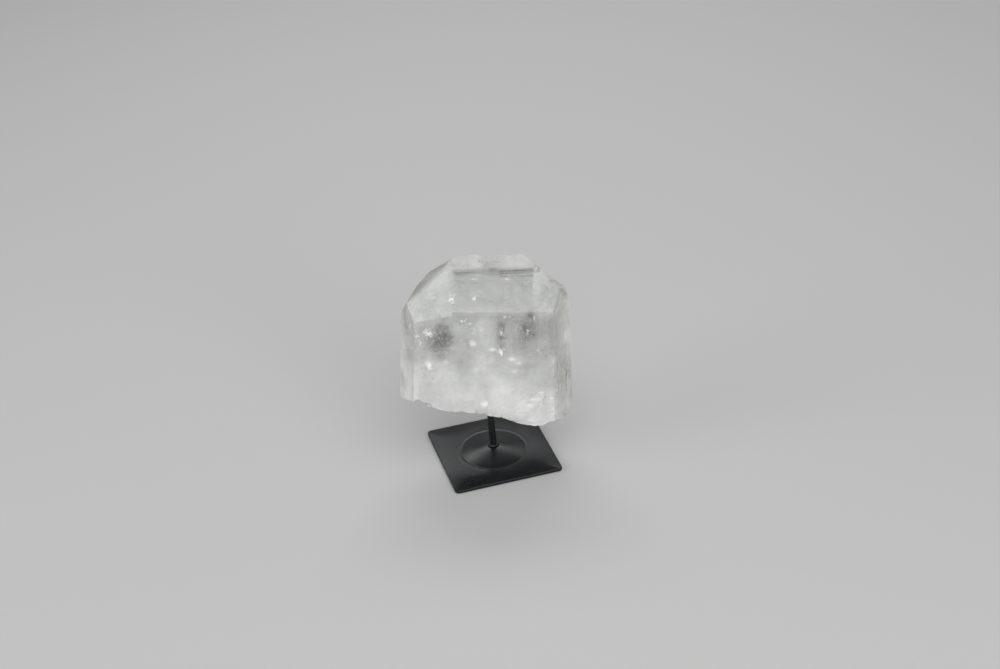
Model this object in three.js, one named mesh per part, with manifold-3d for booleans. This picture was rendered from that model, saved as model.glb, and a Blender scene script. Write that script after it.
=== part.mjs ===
// A tabular quartz crystal with two peaks. It is drilled in its broken base and stands on a steel rod,
// which is welded to the crown of a pressed square foot plate. Millimetres, +Z up.
import * as THREE from 'three';
import { mergeVertices } from 'three/addons/utils/BufferGeometryUtils.js';
import Module from 'manifold-3d';

// Foot plate: a square steel sheet with a low cone pressed up in its middle
const plateSide = 80;
const plateThickness = 2.3;
const plateCornerRadius = 2.5;
const plateEdgeBevel = 0.4;
const plateTurn = 15;
const coneFootRadius = 23.6;
const coneLandRadius = 5;
const coneRise = 4;
const coneSides = 56;

// Rod: a round bar through the crown of the cone, slightly bent by hand, with a ring of weld beads
const rodRadius = 2.5;
const rodSides = 18;
const rodFoot = 4.6;
const rodBendStart = 9;
const rodBendEnd = 27;
const rodTop = 62;
const rodOffset = 0.6;
const weldRadius = 3.7;
const weldHeight = 1.9;
const weldBeads = 7;
const weldBeadRadius = 1.3;

// Clearance between pieces that touch
const restGap = 0.3;

// Stance of the crystal: the middle of its base over the plate, and how it leans there
const baseHeight = 47;
const turnLeft = 0.34;
const leanBack = 9;
const tiltRight = 2.01;

// The normals of the tip faces rise by this much over the prism faces
const tipRise = 38.2;

// Faces of the crystal. Each has the azimuth of its outward normal (-90 is the front), the rise of
// the normal, and its distance from the middle of the base.
const prismFaces = {
  front: { azimuth: -90, rise: 0, distance: 22.7 },
  frontRight: { azimuth: -30, rise: 0.5, distance: 50.4 },
  backRight: { azimuth: 30, rise: 1, distance: 51.2 },
  back: { azimuth: 90, rise: 0, distance: 24 },
  backLeft: { azimuth: 150, rise: 0, distance: 50 },
  frontLeft: { azimuth: 210, rise: 0, distance: 56 },
};
const frontTip = { azimuth: -88.7, rise: tipRise, distance: 64.8 };
const frontTipLeft = { azimuth: -96.2, rise: 35.3, distance: 63.5 };
const rightPeakFaces = {
  backTip: { azimuth: 92, rise: tipRise, distance: 68.9 },
  rightTip: { azimuth: 32, rise: 40.1, distance: 87.3 },
  notch: { azimuth: 150, rise: tipRise, distance: 63.9 },
};
const leftPeakFaces = {
  backTip: { azimuth: 100.9, rise: tipRise, distance: 71.3 },
  backTipRight: { azimuth: 79.7, rise: tipRise, distance: 68.9 },
  leftTipUpper: { azimuth: 130.9, rise: 47.6, distance: 90.7 },
  leftTipMiddle: { azimuth: 151.2, rise: 32.7, distance: 83 },
  leftTipLower: { azimuth: 166.1, rise: 31, distance: 86.3 },
  leftTipFoot: { azimuth: 161.8, rise: 15.8, distance: 72.4 },
  leftBevel: { azimuth: -136.3, rise: 52.8, distance: 95.6 },
  notch: { azimuth: 30, rise: tipRise, distance: 64.9 },
};

// Growth steps that stand proud of the faces, as spans across the front and the back
const stepProud = 0.35;
const frontSteps = [[-25, -3], [7, 32]];
const backSteps = [[-38, -9], [16, 44]];
const ribProud = 0.5;
const ribSpans = [[-20.5, -17.5], [-13, -9.5], [-6.5, -4.5]];

// Ledge that widens the lower left side, and the tab at the upper right corner
const lowerLeftFaces = [
  { azimuth: 150, rise: 2.7, distance: 53.3 },
  { azimuth: 210, rise: 2.7, distance: 58.8 },
  { azimuth: 190, rise: 50, distance: 72.8 },
  prismFaces.front,
  prismFaces.back,
];
const cornerTabFaces = [
  { azimuth: -30, rise: 0, distance: 51.7 },
  { azimuth: 0, rise: 0, distance: 53.6 },
  { azimuth: -110, rise: -35, distance: -55.4 },
  { azimuth: 90, rise: 0, distance: 0 },
  frontTip,
  rightPeakFaces.rightTip,
];

// Broken base: the height of the break along the front, from left to right, its rise towards the
// back, and the shells that were struck out of it
const baseOutline = [[-81, 3], [-64, 4.3], [-51, 12], [-46.3, 8.4], [-44.2, 5], [-32.8, 2.2],
  [-24.5, 0.8], [-6.7, -0.9], [-3.8, -2.6], [9.5, -5.2], [19.4, -9.8], [30, -11.8], [35.3, -11.9],
  [40, -9.6], [46, -7.9], [50, -11.4], [54.5, -13.4], [57, -11], [59.4, -5.4], [81, 2]];
const baseBackRise = 0.12;
const baseShells = [
  { x: -44, y: 2, radius: 17, depth: 5 },
  { x: -22, y: 12, radius: 15, depth: 4 },
  { x: -14, y: -9, radius: 12, depth: 2.5 },
  { x: 9, y: 14, radius: 14, depth: 3.5 },
  { x: 27, y: 0, radius: 16, depth: 5.5 },
  { x: 47, y: 12, radius: 13, depth: 5 },
];

// Chips off the edges: place, and half sizes across, in depth and in height
const edgeChips = [
  { at: [-44, -24.5, 5.5], size: [4, 3, 4] },
  { at: [-33, -25, 1], size: [7, 4, 3] },
  { at: [-16, -25, -1.2], size: [8, 4, 2.5] },
  { at: [2, -25, -4], size: [6, 4, 3] },
  { at: [14, -25.5, -9.5], size: [9, 5, 5.5] },
  { at: [27, -25.5, -11.5], size: [8, 5, 6] },
  { at: [44, -25.5, -9.5], size: [6, 4, 2.5] },
  { at: [61.5, 2, -12], size: [5, 7, 5] },
  { at: [-65, -7, 2], size: [4.5, 7, 6] },
  { at: [-63.5, -6, 44], size: [3, 6, 2] },
  { at: [57.5, -3, 81.5], size: [3, 4, 4] },
];

// Hackly patch low on the right of the front: a spiral of shallow angular chips
const patchCentre = [30, 2];
const patchReach = [17, 11];
const patchChips = 22;
const patchChipSize = [5.2, 1.9, 3.4];

const radians = THREE.MathUtils.degToRad;
const up = new THREE.Vector3(0, 0, 1);
const blockSize = 400;

const wasm = await Module();
wasm.setup();

function toSolid(geometry) {
  const bare = geometry.index ? geometry.toNonIndexed() : geometry.clone();
  bare.deleteAttribute('normal');
  bare.deleteAttribute('uv');
  const merged = mergeVertices(bare, 1e-4);
  return new wasm.Manifold(new wasm.Mesh({
    numProp: 3,
    vertProperties: new Float32Array(merged.attributes.position.array),
    triVerts: new Uint32Array(merged.index.array),
  }));
}

function toGeometry(solid) {
  const mesh = solid.getMesh();
  const geometry = new THREE.BufferGeometry();
  geometry.setAttribute('position', new THREE.BufferAttribute(mesh.vertProperties, 3));
  geometry.setIndex(new THREE.BufferAttribute(mesh.triVerts, 1));
  return geometry;
}

function toMesh(name, geometry, look) {
  const faceted = geometry.toNonIndexed();
  faceted.computeVertexNormals();
  const mesh = new THREE.Mesh(faceted, new THREE.MeshStandardMaterial(look));
  mesh.name = name;
  return mesh;
}

function normalOf(face) {
  const across = Math.cos(radians(face.rise));
  return new THREE.Vector3(
    across * Math.cos(radians(face.azimuth)),
    across * Math.sin(radians(face.azimuth)),
    Math.sin(radians(face.rise)),
  );
}

// The block of space that lies outside a face
function outside(face) {
  const normal = normalOf(face);
  const block = new THREE.BoxGeometry(blockSize, blockSize, blockSize);
  block.applyQuaternion(new THREE.Quaternion().setFromUnitVectors(up, normal));
  const centre = normal.multiplyScalar(face.distance + blockSize / 2);
  block.translate(centre.x, centre.y, centre.z);
  return toSolid(block);
}

function cutFaces(solid, faces) {
  return faces.reduce((rest, face) => rest.subtract(outside(face)), solid);
}

function moved(face, by) {
  return { ...face, distance: face.distance + by };
}

// A block of the blank that keeps only the given faces and a span along x or y
function slab(axis, [from, to], faces) {
  const towards = axis === 'x' ? 0 : 90;
  return cutFaces(toSolid(new THREE.BoxGeometry(200, 200, 260)), [
    { azimuth: towards, rise: 0, distance: to },
    { azimuth: towards + 180, rise: 0, distance: -from },
    ...faces,
  ]);
}

function between(points, x) {
  const next = points.findIndex(([edge]) => edge >= x);
  const [x0, z0] = points[next - 1];
  const [x1, z1] = points[next];
  return z0 + ((z1 - z0) * (x - x0)) / (x1 - x0);
}

function breakHeight(x, y) {
  const shells = baseShells.map((shell) => {
    const reach = Math.hypot(x - shell.x, y - shell.y) / shell.radius;
    return shell.depth * (1 - reach * reach);
  });
  return between(baseOutline, x) + baseBackRise * (y + prismFaces.front.distance) + Math.max(0, ...shells);
}

// Everything below the break
function belowBreak() {
  const width = 160;
  const depth = 64;
  const height = 140;
  const block = new THREE.BoxGeometry(width, depth, height, 54, 20, 1);
  const position = block.attributes.position;
  for (let i = 0; i < position.count; i += 1) {
    const atTop = position.getZ(i) > 0;
    position.setZ(i, atTop ? breakHeight(position.getX(i), position.getY(i)) : -height);
  }
  return toSolid(block);
}

function placed(shape, { at, size }) {
  shape.scale(...size);
  shape.translate(...at);
  return toSolid(shape);
}

function edgeChip(chip, index) {
  return placed(new THREE.SphereGeometry(1, 12, 8).rotateZ(index), chip);
}

// The low steps and ribs of parallel growth, each held back from every face but its own
function growthSteps() {
  const { front, back, frontRight } = prismFaces;
  const tips = [...Object.values(rightPeakFaces), ...Object.values(leftPeakFaces)]
    .filter((face) => face !== rightPeakFaces.notch && face !== leftPeakFaces.notch)
    .map((face) => moved(face, -2.5));
  const onFront = frontSteps.map((span) => slab('x', span, [
    moved(front, stepProud), moved(frontTip, stepProud), moved(back, -8), ...tips]));
  const onBack = backSteps.map((span) => slab('x', span, [
    moved(back, stepProud), moved(front, -8), moved(frontTip, -6), ...tips]));
  const onRight = ribSpans.map((span) => slab('y', span, [
    moved(frontRight, ribProud), { azimuth: 180, rise: 0, distance: -30 }, moved(frontTip, -4), ...tips]));
  return [...onFront, ...onBack, ...onRight];
}

function patchChip(_, index) {
  const turn = index * Math.PI * (3 - Math.sqrt(5));
  const reach = Math.sqrt((index + 0.5) / patchChips);
  const shape = new THREE.IcosahedronGeometry(1, 0).rotateX(index).rotateZ(2 * index);
  return placed(shape, {
    at: [
      patchCentre[0] + patchReach[0] * reach * Math.cos(turn),
      -prismFaces.front.distance - 0.4,
      patchCentre[1] + patchReach[1] * reach * Math.sin(turn),
    ],
    size: patchChipSize,
  });
}

function growCrystal() {
  const blank = toSolid(new THREE.BoxGeometry(200, 200, 260));
  const rightPeak = cutFaces(blank, Object.values(rightPeakFaces));
  const leftPeak = cutFaces(blank, Object.values(leftPeakFaces));
  const body = cutFaces(rightPeak.add(leftPeak), [frontTip, frontTipLeft, ...Object.values(prismFaces)]);
  const lowerLeft = slab('x', [-80, -20], lowerLeftFaces);
  const cornerTab = slab('x', [40, 80], cornerTabFaces);
  const grown = [...growthSteps(), lowerLeft, cornerTab].reduce((rest, piece) => rest.add(piece), body);
  const chips = [...edgeChips.map(edgeChip), ...Array.from({ length: patchChips }, patchChip)];
  return chips.reduce((rest, piece) => rest.subtract(piece), grown.subtract(belowBreak()));
}

function standCrystal() {
  const stance = new THREE.Matrix4().makeRotationFromEuler(new THREE.Euler(
    radians(-leanBack), radians(tiltRight), radians(turnLeft), 'ZXY'));
  stance.setPosition(0, 0, baseHeight);
  const standing = toSolid(toGeometry(growCrystal()).applyMatrix4(stance));
  const hole = new THREE.CylinderGeometry(rodRadius + restGap, rodRadius + restGap, rodTop, rodSides);
  hole.rotateX(Math.PI / 2);
  hole.translate(-rodOffset, 0, rodTop / 2 + restGap);
  return toGeometry(standing.subtract(toSolid(hole)));
}

function makePlate() {
  const half = plateSide / 2 - plateEdgeBevel;
  const corner = plateCornerRadius;
  const outline = new THREE.Shape();
  outline.absarc(half - corner, half - corner, corner, 0, Math.PI / 2);
  outline.absarc(corner - half, half - corner, corner, Math.PI / 2, Math.PI);
  outline.absarc(corner - half, corner - half, corner, Math.PI, 1.5 * Math.PI);
  outline.absarc(half - corner, corner - half, corner, 1.5 * Math.PI, 2 * Math.PI);
  const sheet = new THREE.ExtrudeGeometry(outline, {
    depth: plateThickness - 2 * plateEdgeBevel,
    curveSegments: 4,
    bevelThickness: plateEdgeBevel,
    bevelSize: plateEdgeBevel,
    bevelSegments: 2,
  });
  sheet.translate(0, 0, plateEdgeBevel);
  const cone = (floor, foot, land) => new THREE.LatheGeometry([
    new THREE.Vector2(0, floor),
    new THREE.Vector2(coneFootRadius, floor),
    new THREE.Vector2(coneFootRadius, foot),
    new THREE.Vector2(coneLandRadius, land),
    new THREE.Vector2(0, land),
  ], coneSides).rotateX(Math.PI / 2);
  const raised = toSolid(cone(plateThickness / 2, plateThickness, plateThickness + coneRise));
  const hollow = toSolid(cone(-1, 0, coneRise));
  const bore = new THREE.CylinderGeometry(rodRadius + restGap, rodRadius + restGap, 30, rodSides);
  bore.rotateX(Math.PI / 2);
  const plate = toSolid(sheet).add(raised).subtract(hollow).subtract(toSolid(bore));
  return toGeometry(plate).rotateZ(radians(plateTurn));
}

function makeRod() {
  const path = new THREE.CatmullRomCurve3([
    new THREE.Vector3(0, 0, rodFoot),
    new THREE.Vector3(0, 0, rodBendStart),
    new THREE.Vector3(-rodOffset, 0, rodBendEnd),
    new THREE.Vector3(-rodOffset, 0, (rodBendEnd + rodTop) / 2),
    new THREE.Vector3(-rodOffset, 0, rodTop),
  ]);
  const section = new THREE.Shape();
  section.absarc(0, 0, rodRadius, 0, 2 * Math.PI);
  const bar = toSolid(new THREE.ExtrudeGeometry(section, {
    steps: 14,
    curveSegments: rodSides / 2,
    extrudePath: path,
  }));
  const weldFloor = plateThickness + coneRise + restGap;
  const fillet = new THREE.LatheGeometry([
    new THREE.Vector2(0, weldFloor),
    new THREE.Vector2(weldRadius, weldFloor),
    new THREE.Vector2(rodRadius + 0.5, weldFloor + weldHeight),
    new THREE.Vector2(0, weldFloor + weldHeight),
  ], rodSides).rotateX(Math.PI / 2);
  const below = new THREE.BoxGeometry(20, 20, 20).translate(0, 0, weldFloor - 10);
  const beads = Array.from({ length: weldBeads }, (_, index) => {
    const turn = (2 * Math.PI * index) / weldBeads;
    const bead = new THREE.SphereGeometry(weldBeadRadius, 10, 6);
    bead.translate(
      (weldRadius - 0.6) * Math.cos(turn),
      (weldRadius - 0.6) * Math.sin(turn),
      weldFloor + 0.5 + 0.3 * (index % 2),
    );
    return toSolid(bead).subtract(toSolid(below));
  });
  return toGeometry(beads.reduce((rest, bead) => rest.add(bead), bar.add(toSolid(fillet))));
}

const crystal = toMesh('quartz_crystal', standCrystal(), {
  color: 0xc4c9c8, roughness: 0.12, metalness: 0, transparent: true, opacity: 0.75,
});
const rod = toMesh('rod', makeRod(), { color: 0x1c1f20, roughness: 0.4, metalness: 0.3 });
const plate = toMesh('base_plate', makePlate(), { color: 0x191c1d, roughness: 0.45, metalness: 0.3 });

const specimen = new THREE.Group();
specimen.add(crystal, rod, plate);

// The frame has its origin at the bottom centre of the whole specimen
const bounds = new THREE.Box3().setFromObject(specimen);
const centre = bounds.getCenter(new THREE.Vector3());
specimen.position.set(-centre.x, -centre.y, -bounds.min.z);

export default specimen;
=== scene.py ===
import math
import random

import bpy
from mathutils import Matrix, Vector, noise


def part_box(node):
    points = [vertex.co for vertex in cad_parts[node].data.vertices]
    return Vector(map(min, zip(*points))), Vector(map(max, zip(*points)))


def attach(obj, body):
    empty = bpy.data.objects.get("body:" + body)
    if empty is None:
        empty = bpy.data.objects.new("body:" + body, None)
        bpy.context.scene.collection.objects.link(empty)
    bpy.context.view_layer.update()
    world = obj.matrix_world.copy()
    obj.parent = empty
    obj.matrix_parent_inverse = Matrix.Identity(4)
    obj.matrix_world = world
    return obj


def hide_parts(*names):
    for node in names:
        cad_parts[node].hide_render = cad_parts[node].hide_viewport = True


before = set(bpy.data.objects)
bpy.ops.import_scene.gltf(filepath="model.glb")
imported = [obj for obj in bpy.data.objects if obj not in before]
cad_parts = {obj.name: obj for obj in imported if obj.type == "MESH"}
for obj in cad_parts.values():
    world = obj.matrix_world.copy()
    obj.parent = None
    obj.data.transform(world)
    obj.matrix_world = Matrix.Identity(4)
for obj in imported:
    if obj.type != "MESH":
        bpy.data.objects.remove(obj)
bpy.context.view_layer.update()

# A tabular quartz crystal with two peaks, on a rod that is welded to a black foot plate.
# Shapes are drawn in millimetres, then seated in the frame, which is in metres.

mm = 0.001
plateLow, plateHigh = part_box("base_plate")
plateMiddle = (plateLow + plateHigh) / 2
foot = Vector((plateMiddle.x, plateMiddle.y, 0))  # under the rod, on the table


def deselect():
    bpy.ops.object.select_all(action="DESELECT")


def pick(*objects):
    deselect()
    for ob in objects:
        ob.select_set(True)
    bpy.context.view_layer.objects.active = objects[-1]


def named(name):
    made = bpy.context.active_object
    made.name = name
    made.data.name = name
    return made


def editMode(on=True):
    bpy.ops.object.mode_set(mode="EDIT" if on else "OBJECT")


def applyModifier(ob, kind, **settings):
    pick(ob)
    modifier = ob.modifiers.new(kind.lower(), kind)
    for key, value in settings.items():
        setattr(modifier, key, value)
    bpy.ops.object.modifier_apply(modifier=modifier.name)


def roundEdges(ob, width, segments, sharp):
    applyModifier(ob, "BEVEL", width=width, segments=segments, limit_method="ANGLE",
                  angle_limit=math.radians(sharp))


def combine(ob, other, operation, keep=False):
    applyModifier(ob, "BOOLEAN", operation=operation, object=other, solver="MANIFOLD")
    if not keep:
        bpy.data.objects.remove(other)


def joinAll(objects, name):
    pick(*objects)
    if len(objects) > 1:
        bpy.ops.object.join()
    return named(name)


def applyPlace(ob):
    pick(ob)
    bpy.ops.object.transform_apply(location=True, rotation=True, scale=True)


def seat(ob, matrix):
    ob.matrix_world = matrix
    applyPlace(ob)


def moveVertices(ob, change):
    for vertex in ob.data.vertices:
        vertex.co = change(vertex.co)
    ob.data.update()


def outwards(ob):
    pick(ob)
    editMode()
    bpy.ops.mesh.select_all(action="SELECT")
    bpy.ops.mesh.normals_make_consistent(inside=False)
    editMode(False)


def smoothShade(ob, angle):
    pick(ob)
    bpy.ops.object.shade_smooth_by_angle(angle=math.radians(angle))


def dress(ob, material):
    ob.data.materials.clear()
    ob.data.materials.append(material)


def rotation(degrees, axis, size=4):
    return Matrix.Rotation(math.radians(degrees), size, axis)


def clamp(value):
    return min(1.0, max(0.0, value))


# helpers for the materials

noiseSpan = (0.3, 0.7)  # where most of a noise texture lies
# colour of the painted glint: an emission that makes the splashes and flecks shine like glints
paintedGlintColour = (1, 1, 0.98, 1)


def newMaterial(name):
    made = bpy.data.materials.new(name)
    made.use_nodes = True
    made.node_tree.nodes.clear()
    return made, made.node_tree


def wire(tree, source, end, socket):  # the source is a node, or a node and the name of its output
    start, name = source if isinstance(source, tuple) else (source, 0)
    tree.links.new(start.outputs[name], end.inputs[socket])


def addNode(tree, kind, values=None, **settings):
    made = tree.nodes.new(kind)
    for key, value in settings.items():
        setattr(made, key, value)
    for key, value in (values or {}).items():
        first = value[0] if isinstance(value, tuple) else value
        if isinstance(first, bpy.types.Node):
            wire(tree, value, made, key)
        else:
            made.inputs[key].default_value = value
    return made


def objectCoords(tree):
    return addNode(tree, "ShaderNodeTexCoord"), "Object"


def mapRange(tree, source, low, high, toLow, toHigh):
    return addNode(tree, "ShaderNodeMapRange", {"Value": source, "From Min": low, "From Max": high,
                                                "To Min": toLow, "To Max": toHigh})


def maths(tree, operation, first, second):
    return addNode(tree, "ShaderNodeMath", {0: first, 1: second}, operation=operation)


def mixed(tree, first, second, factor):
    return addNode(tree, "ShaderNodeMix", {"A": (*first, 1), "B": (*second, 1), "Factor": factor},
                   data_type="RGBA")


def noiseOn(tree, coords, scale, detail=2.0, roughness=0.5):
    return addNode(tree, "ShaderNodeTexNoise",
                   {"Vector": coords, "Scale": scale, "Detail": detail, "Roughness": roughness})


def addBump(tree, height, strength, distance, **under):
    return addNode(tree, "ShaderNodeBump",
                   {"Height": height, "Strength": strength, "Distance": distance, **under})


def output(tree, surface, **volume):
    addNode(tree, "ShaderNodeOutputMaterial", {"Surface": surface, **volume})


# camera, floor and light

view = {
    "lens": 64.8, "sensor": 36, "clip": (0.01, 50),
    "from foot": (9.71, -1072.0, 768.48),
    "down": 31.927,
    "roll": -3.519,
}
studio = {
    "floor": (0.42, 0.42, 0.415), "floor rough": 0.75,
    "floor size": 9.0, "floor drop": 0.2,
    "floor grain": 900.0, "floor bump": (0.05, 0.0002),
    "world": (0.60, 0.61, 0.62),
    "world strength": 0.55,
    "lamps": {  # place in metres, width and height, power, aim
        "key": ((0.30, -0.95, 1.50), (1.9, 1.9), 24, (0, 0, 0.08)),
        "top": ((0.00, 1.08, 1.24), (1.2, 0.5), 9, (0, 0, 0.02)),
        "side": ((-1.45, -0.45, 0.70), (0.9, 0.9), 9, (0, 0, 0.08)),
        "front": ((1.05, -1.45, 0.50), (0.9, 0.9), 9, (0, 0, 0.10)),
    },
    # bounces of the light; the veils in the quartz lie many deep
    "bounces": 12, "diffuse bounces": 3, "transparent bounces": 32,
}


def addCamera():
    data = bpy.data.cameras.new("camera")
    data.sensor_width = view["sensor"]
    data.lens = view["lens"]
    data.clip_start, data.clip_end = view["clip"]
    camera = bpy.data.objects.new("camera", data)
    bpy.context.scene.collection.objects.link(camera)
    place = Matrix.Translation(foot + Vector(view["from foot"]) * mm)
    camera.matrix_world = place @ rotation(90 - view["down"], "X") @ rotation(view["roll"], "Z")
    bpy.context.scene.camera = camera


def addFloor():
    bpy.ops.mesh.primitive_plane_add(size=studio["floor size"], location=(0, 0, -studio["floor drop"] * mm))
    floor = named("floor")
    made, tree = newMaterial("paleFloor")
    grain = noiseOn(tree, objectCoords(tree), studio["floor grain"])
    surface = addNode(tree, "ShaderNodeBsdfPrincipled", {
        "Base Color": (*studio["floor"], 1), "Roughness": studio["floor rough"],
        "Normal": addBump(tree, grain, *studio["floor bump"]),
    })
    output(tree, surface)
    dress(floor, made)


def addLamps():
    for name, (place, size, power, aim) in studio["lamps"].items():
        data = bpy.data.lights.new(name, "AREA")
        data.shape = "RECTANGLE"
        data.size, data.size_y = size
        data.energy = power
        lamp = bpy.data.objects.new(name, data)
        bpy.context.scene.collection.objects.link(lamp)
        lamp.location = place
        lamp.rotation_euler = (Vector(aim) - Vector(place)).to_track_quat("-Z", "Y").to_euler()
    world = bpy.data.worlds.new("studio")
    world.use_nodes = True
    sky = world.node_tree.nodes["Background"].inputs
    sky["Color"].default_value = (*studio["world"], 1)
    sky["Strength"].default_value = studio["world strength"]
    bpy.context.scene.world = world


addCamera()
addFloor()
addLamps()
bpy.context.scene.view_settings.view_transform = "Standard"
bpy.context.scene.cycles.use_denoising = True
bpy.context.scene.cycles.transparent_max_bounces = studio["transparent bounces"]
bpy.context.scene.cycles.diffuse_bounces = studio["diffuse bounces"]
bpy.context.scene.cycles.max_bounces = studio["bounces"]
print("camera, floor and lamps are in place")


# the stand: a foot plate with a pressed cone, and the rod welded in it

paint = {
    "cloud": 45.0, "peel": 1400.0, "dust": 230.0,
    "cloud gain": 1.7,  # how much lighter the paint gets in its clouds
    "speck": (0.055, 0.035), "speck among": (0.5, 0.62), "speck colour": (0.32, 0.32, 0.30),
    "rough spread": (-0.05, 0.08), "peel bump": (0.12, 0.00005),
}
stand = {
    "side": 80, "corner": 2.93, "thickness": 2.3, "turn": 15, "edge round": 0.45,
    "sides": 96, "corner steps": 6,
    # the pressed middle, from the bore out: radius, and height of the upper face
    "profile": [
        (2.8, 6.3), (4.4, 6.3), (5.2, 6.22), (6.4, 6), (12, 4.8), (18, 3.5), (22.4, 2.56), (23.1, 2.38),
        (23.7, 2.26), (24.2, 2.36), (24.9, 2.46), (25.7, 2.42), (27.2, 2.34), (28.4, 2.3),
    ],
    "smooth": 35,
    "paint": ((0.0048, 0.0062, 0.0067), 0.29, 0.28),  # colour, roughness, gloss
}
rodShape = {
    "radius": 2.5, "sides": 40, "foot": 4.6, "bend": (9.0, 27.0), "lean": -0.6, "edge round": 0.3,
    "steps": 24,  # cuts along the rod, so that it can bend
    "weld beads": 9, "weld radius": 2.95, "bead radius": 1.25, "weld floor": 6.3, "weld cell": 0.2,
    "bead astray": 0.12, "bead spread": (0.8, 1.12), "bead lift": 0.35, "smooth": 50,
    "paint": ((0.0055, 0.0066, 0.0070), 0.30, 0.5),
}
sharpCorner = 60  # degrees, for the edges that get rounded


def paintMaterial(name, colour, rough, gloss):
    made, tree = newMaterial(name)
    coords = objectCoords(tree)
    cloud = noiseOn(tree, coords, paint["cloud"], 4.0)
    peel = noiseOn(tree, coords, paint["peel"])
    dust = addNode(tree, "ShaderNodeTexVoronoi", {"Vector": coords, "Scale": paint["dust"]})
    specks = mapRange(tree, (dust, "Distance"), *paint["speck"], 0, 1)
    dusty = maths(tree, "MULTIPLY", specks, mapRange(tree, cloud, *paint["speck among"], 0, 1))
    shade = mixed(tree, colour, [paint["cloud gain"] * part for part in colour], cloud)
    speckled = mixed(tree, colour, paint["speck colour"], dusty)
    wire(tree, (shade, "Result"), speckled, "A")
    less, more = paint["rough spread"]
    surface = addNode(tree, "ShaderNodeBsdfPrincipled", {
        "Base Color": (speckled, "Result"), "Specular IOR Level": gloss,
        "Roughness": mapRange(tree, cloud, *noiseSpan, rough + less, rough + more),
        "Normal": addBump(tree, peel, *paint["peel bump"]),
    })
    output(tree, surface)
    return made


def squareRim(co):
    quarter = stand["sides"] // 4  # steps of the rim from mid-side to mid-side
    arc = stand["corner steps"]
    flat = (quarter - arc) // 2
    half, corner = stand["side"] / 2, stand["corner"]
    straight = half - corner
    step = round(math.atan2(co.y, co.x) / (2 * math.pi) * stand["sides"]) % stand["sides"]
    side, along = divmod(step, quarter)
    if along <= flat:
        place = Vector((half, straight * along / flat, co.z))
    elif along < flat + arc:
        turn = math.radians(90) * (along - flat) / arc
        place = Vector((straight + corner * math.cos(turn), straight + corner * math.sin(turn), co.z))
    else:
        place = Vector((straight * (quarter - along) / flat, half, co.z))
    return rotation(90 * side, "Z", 3) @ place


def makePlate():
    deselect()
    radius, height = stand["profile"][0]
    bpy.ops.mesh.primitive_circle_add(vertices=stand["sides"], radius=radius, location=(0, 0, 0))
    plate = named("footPlate")
    moveVertices(plate, lambda co: Vector((co.x, co.y, height)))
    editMode()
    bpy.ops.mesh.select_mode(type="EDGE")
    bpy.ops.mesh.select_all(action="SELECT")
    for nextRadius, nextHeight in (*stand["profile"][1:], (stand["side"] / 2, stand["thickness"])):
        bpy.ops.mesh.extrude_region_move(
            TRANSFORM_OT_translate={"value": (0, 0, nextHeight - height)})
        grow = nextRadius / radius
        bpy.ops.transform.resize(value=(grow, grow, 1))
        radius, height = nextRadius, nextHeight
    editMode(False)
    pressed = stand["profile"][-1][0] + 1
    moveVertices(plate, lambda co: squareRim(co) if co.xy.length > pressed else co)
    outwards(plate)
    if sum(face.normal.z for face in plate.data.polygons) < 0:
        plate.data.flip_normals()
    applyModifier(plate, "SOLIDIFY", thickness=stand["thickness"], offset=-1)
    moveVertices(plate, lambda co: Vector((co.x, co.y, max(0.0, co.z))))
    roundEdges(plate, stand["edge round"], 3, sharpCorner)
    smoothShade(plate, stand["smooth"])
    dress(plate, paintMaterial("platePaint", *stand["paint"]))
    seat(plate, Matrix.Translation(foot) @ rotation(stand["turn"], "Z") @ Matrix.Scale(mm, 4))
    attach(plate, "root")
    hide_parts("base_plate")
    return plate


def makeBead(turn, size, lift):
    deselect()
    bpy.ops.mesh.primitive_ico_sphere_add(
        subdivisions=3, radius=size,
        location=(rodShape["weld radius"] * math.cos(turn), rodShape["weld radius"] * math.sin(turn),
                  rodShape["weld floor"] + 0.5 * size + lift))
    bead = named("bead")
    applyPlace(bead)
    return bead


def makeWeld():
    draw = random.Random(3)
    astray = rodShape["bead astray"]
    beads = []
    for index in range(rodShape["weld beads"]):
        turn = 2 * math.pi * index / rodShape["weld beads"] + draw.uniform(-astray, astray)
        size = rodShape["bead radius"] * draw.uniform(*rodShape["bead spread"])
        beads.append(makeBead(turn, size, draw.uniform(0, rodShape["bead lift"])))
    weld = joinAll(beads, "weld")
    applyModifier(weld, "REMESH", mode="VOXEL", voxel_size=rodShape["weld cell"])
    applyModifier(weld, "SMOOTH", factor=0.5, iterations=3)
    moveVertices(weld, lambda co: Vector((co.x, co.y, max(co.z, rodShape["weld floor"]))))
    return weld


def makeRod():
    top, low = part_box("rod")[1].z / mm, rodShape["foot"]
    start, end = rodShape["bend"]
    deselect()
    bpy.ops.mesh.primitive_cylinder_add(vertices=rodShape["sides"], radius=rodShape["radius"],
                                        depth=top - low, location=(0, 0, (top + low) / 2))
    rod = named("rodBar")
    applyPlace(rod)
    roundEdges(rod, rodShape["edge round"], 2, sharpCorner)
    editMode()
    for step in range(1, rodShape["steps"]):
        level = low + (top - low) * step / rodShape["steps"]
        bpy.ops.mesh.select_all(action="SELECT")
        bpy.ops.mesh.bisect(plane_co=(0, 0, level), plane_no=(0, 0, 1))
    editMode(False)

    def bend(co):
        share = clamp((co.z - start) / (end - start))
        return Vector((co.x + rodShape["lean"] * share * share * (3 - 2 * share), co.y, co.z))

    moveVertices(rod, bend)
    combine(rod, makeWeld(), "UNION")
    smoothShade(rod, rodShape["smooth"])
    dress(rod, paintMaterial("rodPaint", *rodShape["paint"]))
    seat(rod, Matrix.Translation(foot) @ Matrix.Scale(mm, 4))
    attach(rod, "root")
    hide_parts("rod")
    return rod


platePiece = makePlate()
rodPiece = makeRod()
print("stand:", len(platePiece.data.polygons) + len(rodPiece.data.polygons), "faces")


# the crystal

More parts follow.
